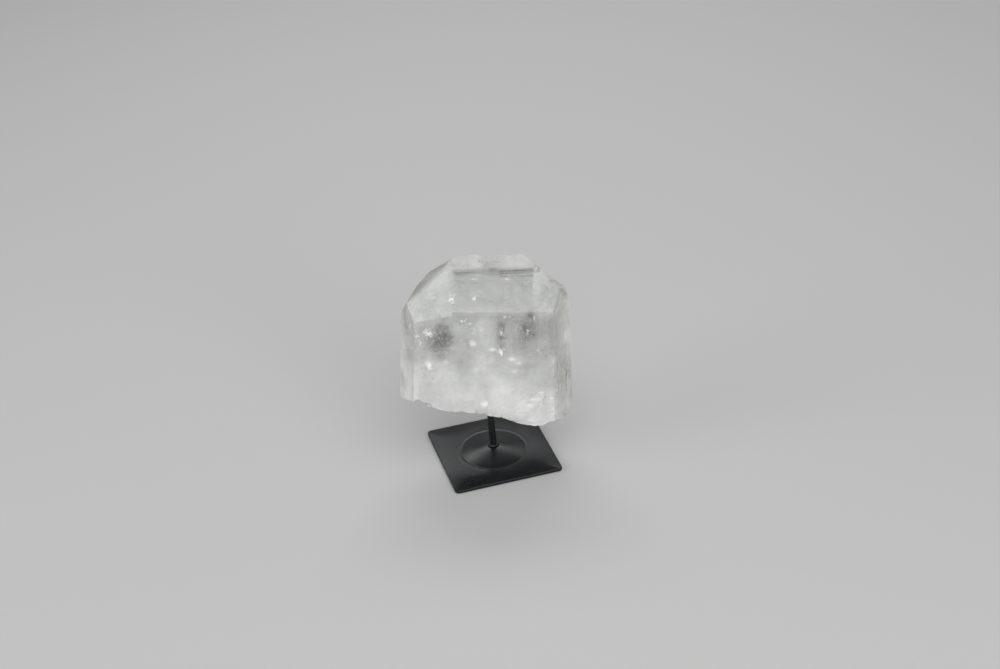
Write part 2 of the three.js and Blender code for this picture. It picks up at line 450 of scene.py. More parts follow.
crystal = {
    "base height": 47.0,
    "lean back": 9.0,
    "tilt right": 2.01,
    "turn left": 0.34,
    "block": 300,  # it is cut from a cube of this size
    "edge round": 0.3, "step round": 0.1, "sharp": 9,
    # faces: azimuth of the outward normal (-90 is the front), its rise, distance from the middle
    "prism": {
        "front": (-90, 0, 22.7), "frontRight": (-30, 0.5, 50.4), "backRight": (30, 1, 51.2),
        "back": (90, 0, 24), "backLeft": (150, 0, 50), "frontLeft": (210, 0, 56),
    },
    "shoulder": 76,
    "front tip": (-88.7, 38.2, 64.8),
    "front tip left": (-96.2, 35.3, 63.5),
    "right peak": {
        "backTip": (92, 38.2, 68.9), "rightTip": (32, 40.1, 87.3), "notch": (150, 38.2, 63.9),
    },
    "left peak": {
        "backTip": (100.9, 38.2, 71.3), "backTipRight": (79.7, 38.2, 68.9),
        "leftTipUpper": (130.9, 47.6, 90.7), "leftTipMiddle": (151.2, 32.7, 83),
        "leftTipLower": (166.1, 31, 86.3), "leftTipFoot": (161.8, 15.8, 72.4),
        "leftBevel": (-136.3, 52.8, 95.6), "notch": (30, 38.2, 64.9),
    },
    # growth steps: how far they stand proud, how deep their far faces lie, and the spans that they cover
    "step proud": 0.12, "rib proud": 0.5,
    "step below tips": 2.5, "step depth": 8, "back step below tip": 6, "rib below tip": 4,
    "front steps": [(-25, -3), (7, 32)],
    "back steps": [(-38, -9), (16, 44)],
    "ribs": [(-20.5, -17.5), (-13, -9.5), (-6.5, -4.5)], "rib start": 30,
    "lower left": [(150, 2.7, 53.3), (210, 2.7, 58.8), (190, 50, 72.8)], "lower left span": (-80, -20),
    "corner tab": [(-30, 0, 51.7), (0, 0, 53.6), (-110, -35, -55.4), (90, 0, 0)], "corner tab span": (40, 80),
}
bothPeaks = ("right peak", "left peak")
brokenBase = {
    "outline": [(-81, 3), (-64, 4.3), (-51, 12), (-46.3, 8.4), (-44.2, 5), (-32.8, 2.2), (-24.5, 0.8),
                (-6.7, -0.9), (-3.8, -2.6), (9.5, -5.2), (19.4, -9.8), (30, -11.8), (35.3, -11.9),
                (40, -9.6), (46, -7.9), (50, -11.4), (54.5, -13.4), (57, -11), (59.4, -5.4), (81, 2)],
    "back rise": 0.12,
    "shells": [(-44, 2, 17, 5), (-22, 12, 15, 4), (-14, -9, 12, 2.5), (9, 14, 14, 3.5), (27, 0, 16, 5.5),
               (47, 12, 13, 5)],  # across, back, radius, depth
    "block": (150, 60), "cells": (190, 80), "block drop": 180,
    "hackle": 0.55, "hackle waves": (5.5, 2.6, 1.1), "hackle seeds": (3.1, 7.7, 1.3),
    "chips": [  # place, and half sizes
        ((-44, -24.5, 5.5), (3.5, 3, 3.5)), ((14, -26, -9.5), (7, 4, 4)), ((27, -26, -11.5), (6, 4, 4.5)),
        ((61.5, 2, -12), (5, 7, 5)), ((-65, -7, 2), (4, 7, 5)), ((-63.5, -6, 44), (3, 6, 2)),
        ((57.5, -3, 81.5), (3, 4, 4)),
    ],
    # how a chip and a splinter are shaped: roundness, grain of the swelling, and its drift with the seed
    "chip": (3, 1.3, 2), "splinter": (2, 1.1, 3),
    "chip swell": 0.22, "nick swell": 1.1, "splinter swell": 0.75,
    "nicks": 30, "nick size": (0.5, 1.9), "nick shape": (1.5, 0.8, 0.9),
    "nick reach": (-46, 44), "nick rise": (-0.9, 0.3), "nick proud": 0.3,
    "patch": (35, 5, 17, 13),  # a splintered patch on the front: middle and reach
    "patch splinters": 64, "patch spread": 0.5, "patch depth": 0.55,
    "splinter size": (3.6, 0.9, 0.9), "splinter grow": (0.3, 1.2), "splinter vary": (0.7, 1.2),
    "splinter slant": (24, 16),
}
drill = {"radius": 2.8, "clearance": 0.3, "sides": 40}

stance = (Matrix.Translation(foot + Vector((0, 0, crystal["base height"])) * mm)
          @ rotation(crystal["turn left"], "Z") @ rotation(-crystal["lean back"], "X")
          @ rotation(crystal["tilt right"], "Y") @ Matrix.Scale(mm, 4))


def normalOf(face):
    azimuth, rise = math.radians(face[0]), math.radians(face[1])
    return Vector((math.cos(rise) * math.cos(azimuth), math.cos(rise) * math.sin(azimuth), math.sin(rise)))


def shifted(face, by):
    return (face[0], face[1], face[2] + by)


def peakFaces(side):
    return [*crystal[side].values(), crystal["front tip"], crystal["front tip left"],
            *crystal["prism"].values()]


def cutFaces(name, faces):
    deselect()
    bpy.ops.mesh.primitive_cube_add(size=crystal["block"])
    ob = named(name)
    editMode()
    for face in faces:
        normal = normalOf(face)
        bpy.ops.mesh.select_all(action="SELECT")
        bpy.ops.mesh.bisect(plane_co=normal * face[2], plane_no=normal, use_fill=True,
                            clear_outer=True, threshold=0.0001)
    editMode(False)
    return ob


def growBody(name, inset, rounding):
    body, other = (cutFaces(side, [shifted(face, -inset) for face in peakFaces(side)])
                   for side in bothPeaks)
    combine(body, other, "UNION")
    body.name = name
    if rounding:
        roundEdges(body, rounding, 2, crystal["sharp"])
    return body


def addSlab(body, azimuth, span, faces):
    ends = [(azimuth, 0, span[1]), (azimuth + 180, 0, -span[0])]
    slab = cutFaces("slab", [*ends, *faces])
    roundEdges(slab, crystal["step round"], 1, crystal["sharp"])
    combine(body, slab, "UNION")


def addGrowthSteps(body):
    prism, frontTip = crystal["prism"], crystal["front tip"]
    proud, deep = crystal["step proud"], crystal["step depth"]
    tips = [shifted(face, -crystal["step below tips"]) for side in bothPeaks
            for key, face in crystal[side].items() if key != "notch"]
    front = [shifted(prism["front"], proud), shifted(frontTip, proud), shifted(prism["back"], -deep), *tips]
    back = [shifted(prism["back"], proud), shifted(prism["front"], -deep),
            shifted(frontTip, -crystal["back step below tip"]), *tips]
    ribs = [shifted(prism["frontRight"], crystal["rib proud"]), (180, 0, -crystal["rib start"]),
            shifted(frontTip, -crystal["rib below tip"]), *tips]
    for azimuth, key, faces in ((0, "front steps", front), (0, "back steps", back), (90, "ribs", ribs)):
        for span in crystal[key]:
            addSlab(body, azimuth, span, faces)
    addSlab(body, 0, crystal["lower left span"], [*crystal["lower left"], prism["front"], prism["back"]])
    addSlab(body, 0, crystal["corner tab span"],
            [*crystal["corner tab"], frontTip, crystal["right peak"]["rightTip"]])


def outlineHeight(x):
    points = brokenBase["outline"]
    for (x0, z0), (x1, z1) in zip(points, points[1:]):
        if x <= x1:
            return z0 + (z1 - z0) * (x - x0) / (x1 - x0)
    return points[-1][1]


def breakHeight(x, y):
    shells = [depth * (1 - ((x - cx) ** 2 + (y - cy) ** 2) / radius ** 2)
              for cx, cy, radius, depth in brokenBase["shells"]]
    rise = brokenBase["back rise"] * (y + crystal["prism"]["front"][2])
    return outlineHeight(x) + rise + max(0, *shells)


def hackle(x, y):
    broad, ridges, fine = (noise.noise(Vector((x / wave, y / wave, seed)))
                           for wave, seed in zip(brokenBase["hackle waves"], brokenBase["hackle seeds"]))
    return brokenBase["hackle"] * (broad + 1.1 * abs(ridges) - 0.3 + 0.3 * fine)


def markBroken(ob):
    while len(ob.data.materials) < 2:
        ob.data.materials.append(None)
    for face in ob.data.polygons:
        face.material_index = 1


def belowBreak(raised):
    width, depth = brokenBase["block"]
    columns, rows = brokenBase["cells"]
    deselect()
    bpy.ops.mesh.primitive_grid_add(x_subdivisions=columns, y_subdivisions=rows, size=1)
    block = named("break")

    def torn(co):
        return Vector((co.x, co.y, raised + breakHeight(co.x, co.y) + hackle(co.x, co.y)))

    moveVertices(block, lambda co: Vector((co.x * width, co.y * depth, 0)))
    moveVertices(block, torn)
    editMode()
    bpy.ops.mesh.select_mode(type="EDGE")
    bpy.ops.mesh.select_all(action="DESELECT")
    bpy.ops.mesh.select_non_manifold()
    bpy.ops.mesh.extrude_region_move(TRANSFORM_OT_translate={"value": (0, 0, -brokenBase["block drop"])})
    bpy.ops.transform.resize(value=(1, 1, 0))
    bpy.ops.mesh.edge_face_add()
    bpy.ops.mesh.select_mode(type="FACE")
    editMode(False)
    outwards(block)
    markBroken(block)
    return block


def strikeOff(body, place, size, shape, swelling, seed, slant=0):
    roundness, grain, drift = shape
    deselect()
    bpy.ops.mesh.primitive_ico_sphere_add(subdivisions=roundness, radius=1)
    lump = named("lump")
    turn = rotation(-slant, "Y", 3)
    where = Vector((seed, drift * seed, 0))

    def struck(co):
        swell = 1 + swelling * noise.noise(co * grain + where)
        return turn @ Vector([part * reach * swell for part, reach in zip(co, size)]) + Vector(place)

    moveVertices(lump, struck)
    markBroken(lump)
    combine(body, lump, "DIFFERENCE")


def breakEdges(body):
    base = brokenBase
    for seed, (place, size) in enumerate(base["chips"]):
        strikeOff(body, place, size, base["chip"], base["chip swell"], seed + 1.5)
    draw = random.Random(11)
    front, back = -crystal["prism"]["front"][2], crystal["prism"]["back"][2]
    proud = base["nick proud"]
    for index in range(base["nicks"]):
        x = draw.uniform(*base["nick reach"])
        y = (front - proud, front - proud, back + proud)[index % 3]
        size = [draw.uniform(*base["nick size"]) * part for part in base["nick shape"]]
        place = (x, y, breakHeight(x, y) + draw.uniform(*base["nick rise"]))
        strikeOff(body, place, size, base["chip"], base["nick swell"], index + 0.7)
    across, up, reachX, reachZ = base["patch"]
    for index in range(base["patch splinters"]):
        x, z = draw.gauss(0, base["patch spread"]), draw.gauss(0, base["patch spread"])
        grow = draw.uniform(*base["splinter grow"])
        place = (across + reachX * x, front - base["patch depth"] * grow, up + reachZ * z)
        size = [grow * part * draw.uniform(*base["splinter vary"]) for part in base["splinter size"]]
        slant = base["splinter slant"][0] + draw.gauss(0, base["splinter slant"][1])
        strikeOff(body, place, size, base["splinter"], base["splinter swell"], index + 0.3, slant)
    combine(body, belowBreak(0), "DIFFERENCE")


def drillHole(ob, radius, clearance):
    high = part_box("rod")[1].z + clearance * mm
    deselect()
    bpy.ops.mesh.primitive_cylinder_add(
        vertices=drill["sides"], radius=radius * mm, depth=high,
        location=(foot.x + rodShape["lean"] * mm, foot.y, high / 2))
    hole = named("drill")
    applyPlace(hole)
    markBroken(hole)
    combine(ob, hole, "DIFFERENCE")


def keepBroken(ob, material):
    marks = [float(face.material_index == 1) for face in ob.data.polygons]
    broken = ob.data.attributes.new("broken", "FLOAT", "FACE")
    broken.data.foreach_set("value", marks)
    dress(ob, material)
    for face in ob.data.polygons:
        face.material_index = 0


quartz = {
    "index": 1.544,
    "absorbs to": (0.83, 0.87, 0.82),
    "absorption": 15.0,  # per metre
    "milk": (0.90, 0.905, 0.885),
    # how much of the surface scatters light: everywhere, more at the foot and the tip, most where it broke
    "milk everywhere": 0.25,
    "milk at foot": 0.33, "foot span": (0.060, -0.006),
    "milk at tip": 0.05, "tip span": (0.086, 0.106),
    "milk when broken": 0.42,
    "milk clouds": (0.72, 1.28),
    # the clear pane in the tip: where its sides, its top and its foot fade in, and the milk that it keeps
    "pane": [(-0.0275, -0.0215, "X"), (0.0328, 0.0312, "X"), (0.1016, 0.0992, "Z"), (0.068, 0.099, "Z")],
    "pane keeps": 0.16,
    # spots with less milk, or more: across, up, half width, half height, turn, and the share that goes
    "spots": [
        (-33.7, 57, 8.5, 9.5, 0, 0.5), (8.3, 60, 4.5, 12, 0, 0.35), (26, 63, 6.5, 9.5, 0, 0.35),
        (-33, 45, 7, 5, 0, 0.3), (27, 60, 26, 17, 0, 0.25), (1.8, 102.2, 6.5, 4, 0, 0.28),
        (38, 96.5, 6.5, 7, 0, 0.4), (2, 90, 8, 4.5, 0, 0.28), (-42, 94, 19, 2.6, -38, 0.45),
        (54, 10, 8.5, 30, 0, 0.4), (46, 92, 9, 12, 0, 0.35), (41, 83, 8, 6.5, 0, 0.5),
        (-5, 57, 9, 20, 0, -0.45), (-57, 36, 9, 36, 0, -0.4), (-36, 34, 14, 9, 0, -0.35),
        (0, 22, 24, 11, 0, -0.14), (-18, 62, 7, 7, 0, -0.35), (56, 60, 9, 26, 0, -0.75),
        (36, 18, 18, 18, 0, 0.2),
    ],
    "spot fray": 6.0, "spot edge": (0.5, 1.3),
    "growth lines": (90, 90, 1500),  # they run across the prism
    "waves": 160.0, "rubble": 900.0,
    "smooth": (0.02, 0.10), "rough": (0.18, 0.42),
    "line bump": (0.16, 0.00008), "wave bump": (0.10, 0.0004), "rubble bump": (0.5, 0.0004),
}


def crystalCoords(tree):
    return addNode(tree, "ShaderNodeMapping", {
        "Vector": objectCoords(tree), "Location": stance.translation,
        "Rotation": stance.to_quaternion().to_euler(),
    }, vector_type="TEXTURE")


def spotShare(tree, coords, fray, across, up, halfWidth, halfHeight, turn, share):
    flat = addNode(tree, "ShaderNodeMapping", {  # into the spot's own circle
        "Vector": coords, "Location": (across * mm, 0, up * mm), "Rotation": (0, math.radians(turn), 0),
        "Scale": (halfWidth * mm, 1000, halfHeight * mm),
    }, vector_type="TEXTURE")
    away = addNode(tree, "ShaderNodeVectorMath", {0: flat}, operation="LENGTH")
    frayedBy = quartz["spot fray"] / (halfWidth + halfHeight)
    frayed = maths(tree, "ADD", mapRange(tree, fray, *noiseSpan, -frayedBy, frayedBy), (away, "Value"))
    return mapRange(tree, frayed, *quartz["spot edge"], 1 - share, 1)


def clearness(tree, coords, broken):
    place = addNode(tree, "ShaderNodeSeparateXYZ", {0: coords})
    fray = noiseOn(tree, coords, 260.0, 4.0, 0.7)
    clouds = noiseOn(tree, coords, 55.0, 5.0, 0.6)
    atFoot = mapRange(tree, (place, "Z"), *quartz["foot span"], 0, quartz["milk at foot"])
    atTip = mapRange(tree, (place, "Z"), *quartz["tip span"], 0, quartz["milk at tip"])
    whole = maths(tree, "ADD", maths(tree, "ADD", atFoot, atTip), quartz["milk everywhere"])
    drifting = maths(tree, "MULTIPLY", whole, mapRange(tree, clouds, *noiseSpan, *quartz["milk clouds"]))
    pane = None
    for start, end, axis in quartz["pane"]:
        side = mapRange(tree, (place, axis), start, end, 0, 1)
        pane = maths(tree, "MULTIPLY", pane, side) if pane else side
    kept = mapRange(tree, pane, 0, 1, 1, quartz["pane keeps"])
    for spot in quartz["spots"]:
        kept = maths(tree, "MULTIPLY", kept, spotShare(tree, coords, fray, *spot))
    milk = maths(tree, "ADD", maths(tree, "MULTIPLY", drifting, kept),
                 mapRange(tree, broken, 0, 1, 0, quartz["milk when broken"]))
    clear = maths(tree, "SUBTRACT", 1.0, milk)
    clear.use_clamp = True
    return clear


def quartzMaterial():
    made, tree = newMaterial("clearQuartz")
    coords = crystalCoords(tree)
    stretched = addNode(tree, "ShaderNodeMapping", {"Vector": coords, "Scale": quartz["growth lines"]})
    lines = noiseOn(tree, stretched, 1.0, 3.0, 0.6)
    waves = noiseOn(tree, coords, quartz["waves"])
    rubble = noiseOn(tree, coords, quartz["rubble"], 4.0, 0.65)
    broken = (addNode(tree, "ShaderNodeAttribute", attribute_name="broken"), "Fac")
    roughness = addNode(tree, "ShaderNodeMix", {
        "Factor": broken, "A": mapRange(tree, waves, 0.35, 0.7, *quartz["smooth"]),
        "B": mapRange(tree, rubble, *noiseSpan, *quartz["rough"]),
    })
    lineBump = addBump(tree, lines, *quartz["line bump"])
    waveBump = addBump(tree, waves, *quartz["wave bump"], Normal=lineBump)
    most, height = quartz["rubble bump"]
    rubbleBump = addBump(tree, rubble, mapRange(tree, broken, 0, 1, 0, most), height, Normal=waveBump)
    surface = addNode(tree, "ShaderNodeBsdfPrincipled", {
        "Base Color": (*quartz["milk"], 1), "IOR": quartz["index"], "Roughness": roughness,
        "Transmission Weight": clearness(tree, coords, broken), "Normal": rubbleBump,
    })
    depth = addNode(tree, "ShaderNodeVolumeAbsorption",
                    {"Color": (*quartz["absorbs to"], 1), "Density": quartz["absorption"]})
    output(tree, surface, Volume=depth)
    return made


def makeCrystal():
    body = growBody("quartz", 0, crystal["edge round"])
    addGrowthSteps(body)
    breakEdges(body)
    seat(body, stance)
    drillHole(body, drill["radius"], drill["clearance"])
    keepBroken(body, quartzMaterial())
    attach(body, "root")
    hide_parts("quartz_crystal")
    return body


crystalPiece = makeCrystal()
print("crystal:", len(crystalPiece.data.polygons), "faces")


# what lies inside the quartz: veils and cracks, white splashes, and a dark film of painted shade behind the
# clear windows

haze = {
    # the envelope that holds it all: how far it lies inside the faces, the break and the hole
    "envelope inset": 1.4, "above break": 1.6, "hole": (3.6, 1.2), "inner skin": 0.2,
    "thick": 0.12,
    "cell": 2.2, "crack cell": 0.5,
    "broad waves": (24, 2.2), "small waves": (8, 0.5), "crack waves": 0.35,  # length and height
    "sight slope": 0.26,  # a line of sight drops this much for each mm behind the front
    "tip slope": 0.54,  # and this much behind the front tip face
    # clear windows, as seen through the front: across, up, half width, half height, clearing
    "windows": [
        (-33.7, 56.3, 7.5, 8.5, 1), (-31.5, 66, 3.6, 3.2, 0.85), (-39, 51, 4.5, 4, 0.6),
        (8.3, 60.5, 3.4, 11, 0.85), (8.6, 53, 2.4, 5, 0.5), (26, 62.5, 5.5, 8.5, 0.85),
        (30.5, 58.5, 4, 4, 0.6), (15.5, 72, 7.5, 2.2, 0.6), (29, 72.5, 3.4, 3, 0.85), (-51, 45, 1.4, 3, 0.5),
        (-54, 53.5, 1.2, 4, 0.4), (-33, 43.5, 6, 4.5, 0.4), (-22, 39, 4, 4, 0.25), (46, 61, 1.6, 7, 0.45),
        (3, 88, 29, 13, 0.5), (-18, 68, 12, 5, 0.25), (-20, 57, 8, 9, 0.22), (38, 55, 7, 9, 0.3),
        (18, 47, 10, 5, 0.2), (17.5, 60, 6, 12, 0.3), (40, 60, 7, 13, 0.3), (9, 1, 4, 2.5, 0.25),
        (-2, 96, 26, 5, 0.3),
    ],
    # sheets: lean from upright, turn about the upright, middle, half width, half height, waviness,
    # strength, and how far from the skin they fade
    "sheets": [
        (0, 4, (-2, -18.2, 34), 70, 60, 1.6, 0.75, 9),
        (6, -9, (6, -12, 30), 66, 62, 2.2, 0.75, 9),
        (-5, 12, (-4, -4, 36), 66, 62, 2.6, 0.65, 8),
        (4, -5, (3, 5, 38), 68, 60, 2.6, 0.6, 7),
        (-3, 8, (0, 13, 38), 68, 62, 2.2, 0.65, 7),
        (0, -3, (0, 20, 34), 70, 58, 1.2, 0.75, 7),
        (-52, 0, (0, -8.5, 90), 64, 30, 0.9, 0.26, 5),
        (-48, 6, (0, -2.0, 84), 64, 32, 1.4, 0.24, 7),
        (46, 3, (0, 12.0, 86), 62, 26, 1.2, 0.2, 8),
        (40, 6, (0, 4, 16), 66, 40, 1.8, 0.65, 8),
        (-42, -6, (4, -4, 12), 66, 40, 1.8, 0.65, 8),
        (2, 62, (52, -4, 38), 34, 60, 1.0, 0.75, 3),
        (4, 56, (46, 0, 38), 34, 60, 1.6, 0.60, 3),
        (-2, -62, (50, 2, 38), 34, 60, 1.2, 0.65, 3),
        (0, 60, (-52, 2, 34), 34, 60, 1.2, 0.65, 3),
        (0, -60, (-54, -4, 34), 34, 60, 1.2, 0.75, 3),
    ],
    # cracks seen nearly on edge: across, up, depth, slant, half width, half depth, strength
    "cracks": [
        (-35.5, 48, 5, 25, 8, 3.2, 2), (-22, 46.5, 7, 28, 6.5, 3, 1.4), (-30, 42, 6, -4, 8, 2.2, 1),
        (32, 47.5, 6, -12, 9, 3.5, 1.5), (41.5, 48.5, 5, -32, 4.5, 3, 1.6), (20, 33, 4, 24, 7, 2.6, 1.4),
        (10, 34.5, 5, -18, 5, 2.4, 1.2), (-8, 69, 5, 12, 6, 2.4, 1), (30, 12, 2.8, 22, 9, 2.2, 2.2),
        (38, 7, 2.8, 30, 8, 2.4, 2.2), (25, 5, 2.8, 14, 8, 2.2, 2), (46, 13, 3.5, 40, 5, 2.4, 2),
    ],
    "crack lean": 67,
    # white splashes that face the front: across, up, depth, half width, half height, slant, strength
    "splashes": [
        (-42, 62, 2.6, 6, 5.2, -20, 0.95), (-42.4, 37.2, 2.6, 4.6, 5.2, 10, 0.95),
        (-25.6, 84.2, 2.4, 2.6, 3.4, 0, 1), (-41, 86, 2.6, 6, 5.5, -20, 0.72), (-50, 60, 3, 3, 3.5, 0, 0.75),
        (-11.4, 52.6, 3, 3.4, 4.2, 25, 0.85), (-5.2, 62.6, 3, 1.8, 2.6, 0, 0.9),
        (8.4, 45.6, 3, 2.8, 4.6, 10, 0.85), (2.6, 47, 3.2, 5, 1.8, 38, 0.85),
        (16.5, 39.5, 3, 5.6, 2.2, 24, 0.85), (45.8, 38.4, 3, 3, 5, -20, 0.8),
        (46.6, 29, 3, 3.4, 5.5, 25, 0.85), (51.2, 33, 7, 2.6, 7.5, 25, 0.85),
        (-4.6, 6.4, 2.6, 3.8, 3.6, 0, 0.95), (-10.1, 33.2, 3, 3.8, 3, -20, 0.75),
        (14.6, 94.8, 5, 3.8, 1.8, 8, 0.85), (-10, 95, 4, 2, 1.4, 0, 0.8), (-9.5, 84.6, 2.6, 2.2, 2, 0, 0.75),
        (32, 9, 2.6, 12, 7, -15, 0.62), (42, 13, 2.6, 6, 6, -35, 0.65), (20, 5, 2.6, 5, 3.5, 10, 0.75),
        (29.4, 16.7, 2.6, 3.2, 1.1, 25, 0.85), (23.6, 7.9, 2.6, 3.6, 1.6, 30, 0.85),
        (46.4, 12.3, 2.6, 3, 1.6, 35, 0.85), (41.6, 2.6, 2.6, 4.2, 1.2, 35, 0.85),
        (33.5, 20.2, 2.6, 2.8, 0.9, 20, 0.8), (37, 9.5, 2.6, 4.5, 1, 38, 0.8),
        (-26, 7.5, 2.6, 1.6, 4.4, 0, 0.8), (11.5, 71.5, 2.6, 2.4, 2.4, 0, 0.8),
        (-13, 68, 2.6, 3.2, 1.6, 0, 0.75), (-26, 50, 3, 6, 4, -30, 0.62), (-30, 40, 3, 7, 4, 0, 0.62),
        (33, 46, 3, 9, 2, 12, 0.7),
        # and these lie near the back
        (-30, 64, 41.5, 5, 4, 20, 0.9), (24, 74, 41, 4, 2.5, -10, 0.9), (40, 42, 41.5, 4, 5, 25, 0.9),
        (2, 40, 42, 6, 2.2, -30, 0.85), (-45, 36, 41, 3.5, 4.5, 10, 0.85), (12, 22, 42, 7, 3, 35, 0.8),
        (-18, 84, 33, 3, 2.2, 0, 0.9), (16, 88, 30, 3, 2, 20, 0.85), (51.5, 70, 12, 1.6, 7, 0, 0.7),
        (53.5, 55, 14, 1.6, 5, 0, 0.8), (-52, 38, 3, 3, 9, 0, 0.6),
    ],
    "tip lean": -40,  # the splashes lie back as the tip does
    "splash grain": 800.0, "splash spread": 1.3, "splash gain": 1.2, "splash most": 0.62,
    # the splashes glow a little, a painted glint
    "splash arms": 4.5, "arm turn": 1.7, "splash tear": 1.02, "splash crisp": 5.0, "splash glow": 0.20,
    "splash colours": ((0.94, 0.95, 0.94), (0.98, 0.98, 0.97)),
    "rim fade": 4.0,
    "high milk": 0.72, "low from": 50, "low gain": 3.0,  # the base is milkier than the tip
    "milk": ((0.90, 0.91, 0.89), (0.94, 0.925, 0.89)),  # cold and warm
    "grain": 70.0, "clouds": (0.28, 0.72, 0.4, 1.6),
}
# the dark film is painted shade: a dark sheet that darkens the clear windows
paintedShade = {
    "sheet": (0, 3, (0, -9, 50), 66, 56, 2.0), "cell": 0.9,
    "grain": 430.0, "clouds": (0.42, 0.57, 0.10, 1.25),
    "colours": ((0.06, 0.063, 0.061), (0.16, 0.164, 0.16)),
    # patches of painted shade, as seen through the front: across, up, half width, half height, strength
    "patches": [
        (-32.2, 56, 7.2, 6, 1.5), (-32, 66.2, 3.8, 3, 1.05), (-28.7, 71.2, 3.2, 1.6, 0.7),
        (-39.5, 50.5, 3.8, 4.4, 0.75), (-34.5, 43.6, 6.5, 4.6, 0.4), (-24.6, 46, 2.6, 4, 0.4),
        (-20, 72.5, 4, 1.6, 0.45), (-9, 72, 4, 1.8, 0.3), (-22, 36, 5, 4, 0.3), (10, 67, 4.6, 5.4, 0.5),
        (8.8, 57.5, 3.4, 5, 0.42), (8, 49.5, 1.8, 3.2, 0.6), (16, 71.8, 5.5, 2.6, 0.6),
        (26.2, 63, 6, 6.6, 0.58), (31.5, 58, 4.6, 4, 0.45), (28.6, 72.2, 4.4, 3, 0.66),
        (25, 55, 3.6, 4.5, 0.45), (37.5, 72, 4.5, 2.4, 0.45), (40, 60, 5.5, 9, 0.4), (-51, 45, 1.2, 2.8, 0.6),
        (-54.3, 52, 1.2, 3.4, 0.6), (51.6, 63, 1.3, 5, 0.6), (18, 50, 7, 5, 0.22), (9, -0.5, 5, 2.6, 0.35),
    ],
}


def makeEnvelope():
    body = growBody("envelope", haze["envelope inset"], 0)
    combine(body, belowBreak(haze["above break"]), "DIFFERENCE")
    seat(body, stance)
    drillHole(body, *haze["hole"])
    seat(body, stance.inverted())
    body.data.materials.clear()
    return body


def inside(ob, co):
    found, place, normal, _ = ob.closest_point_on_mesh(co)
    return found and (co - place).dot(normal) < -haze["inner skin"]


def slopeAt(height):
    return haze["sight slope"] if height < crystal["shoulder"] else haze["tip slope"]


def frontAt(height):
    tip = crystal["front tip"]
    normal = normalOf(tip)
    return max(-crystal["prism"]["front"][2], (normal.z * height - tip[2]) / -normal.y)


def behindFront(across, up, depth, slope):
    return Vector((across, frontAt(up) + depth, up - slope * depth))


def rippledSheet(index, cell, halfWidth, halfHeight, waves, place, envelope):
    deselect()
    bpy.ops.mesh.primitive_grid_add(x_subdivisions=round(2 * halfWidth / cell),
                                    y_subdivisions=round(2 * halfHeight / cell), size=1)
    sheet = named("sheet")
    broad, broadHeight = haze["broad waves"]
    small, smallHeight = haze["small waves"]

    def ripple(co):
        x, z = 2 * co.x * halfWidth, 2 * co.y * halfHeight
        away = noise.noise(Vector((x / broad, z / broad, 5.3 * index))) * broadHeight
        away += noise.noise(Vector((x / small, z / small, 3.7 * index))) * smallHeight
        return Vector((x, waves * away, z))

    moveVertices(sheet, ripple)
    seat(sheet, place)
    applyModifier(sheet, "SOLIDIFY", thickness=haze["thick"], offset=0)
    outwards(sheet)
    combine(sheet, envelope, "INTERSECT", keep=True)
    return sheet


def sheetMatrix(lean, turn, middle):
    return Matrix.Translation(middle) @ rotation(turn, "Z") @ rotation(lean, "X")


def makeSheet(index, cell, lean, turn, middle, halfWidth, halfHeight, waves, envelope):
    place = sheetMatrix(lean, turn, middle)
    return rippledSheet(index, cell, halfWidth, halfHeight, waves, place, envelope)


peakPlanes = [[(normalOf(face), face[2]) for face in peakFaces(side)] for side in bothPeaks]


def depthInside(co):
    return max(min(reach - normal.dot(co) for normal, reach in planes) for planes in peakPlanes)


def seenHeight(co):
    return co.z + haze["sight slope"] * (co.y + crystal["prism"]["front"][2])


def awayFrom(co, across, up, halfWidth, halfHeight):
    return ((co.x - across) / halfWidth) ** 2 + ((seenHeight(co) - up) / halfHeight) ** 2


def hazeAt(co, own, strength, fade):
    skin = clamp((depthInside(co) - haze["envelope inset"]) / fade)
    rim = clamp(haze["rim fade"] * (1 - abs(own.x))) * clamp(haze["rim fade"] * (1 - abs(own.z)))
    low = clamp(1 - seenHeight(co) / haze["low from"])
    amount = strength * skin * rim * (haze["high milk"] + haze["low gain"] * low * low)
    for *window, clearing in haze["windows"]:
        amount *= 1 - clearing * math.exp(-awayFrom(co, *window) ** 2)
    return amount


# how much painted shade the dark film carries at this point
def paintedShadeAt(co):
    return max(strength * math.exp(-awayFrom(co, *patch)) for *patch, strength in paintedShade["patches"])


def setHaze(ob, amounts):
    made = ob.data.attributes.new("haze", "FLOAT", "POINT")
    made.data.foreach_set("value", amounts)


# a film; its glow, where given, is a painted glint
def filmMaterial(name, amountOf, colours, scale, paintedGlint=0.0):
    made, tree = newMaterial(name)
    clouds = noiseOn(tree, crystalCoords(tree), scale, 5.0, 0.68)
    amount = amountOf(tree, (addNode(tree, "ShaderNodeAttribute", attribute_name="haze"), "Fac"), clouds)
    amount.use_clamp = True
    film = addNode(tree, "ShaderNodeBsdfPrincipled", {
        "Base Color": (mixed(tree, *colours, clouds), "Result"), "Roughness": 0.6,
        "Emission Color": paintedGlintColour, "Emission Strength": paintedGlint,
    })
    clear = addNode(tree, "ShaderNodeBsdfTransparent")
    output(tree, addNode(tree, "ShaderNodeMixShader", {0: amount, 1: clear, 2: film}))
    return made


def clouded(*span):
    def amountOf(tree, strength, clouds):
        return maths(tree, "MULTIPLY", mapRange(tree, clouds, *span), strength)

    return amountOf


def torn(tree, strength, clouds):
    missing = maths(tree, "SUBTRACT", haze["splash tear"], strength)
    return maths(tree, "MULTIPLY", maths(tree, "SUBTRACT", clouds, missing), haze["splash crisp"])


def makeFilm(name, sheets, material):
    film = joinAll(sheets, name)
    dress(film, material)
    seat(film, stance)
    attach(film, "root")
    return film


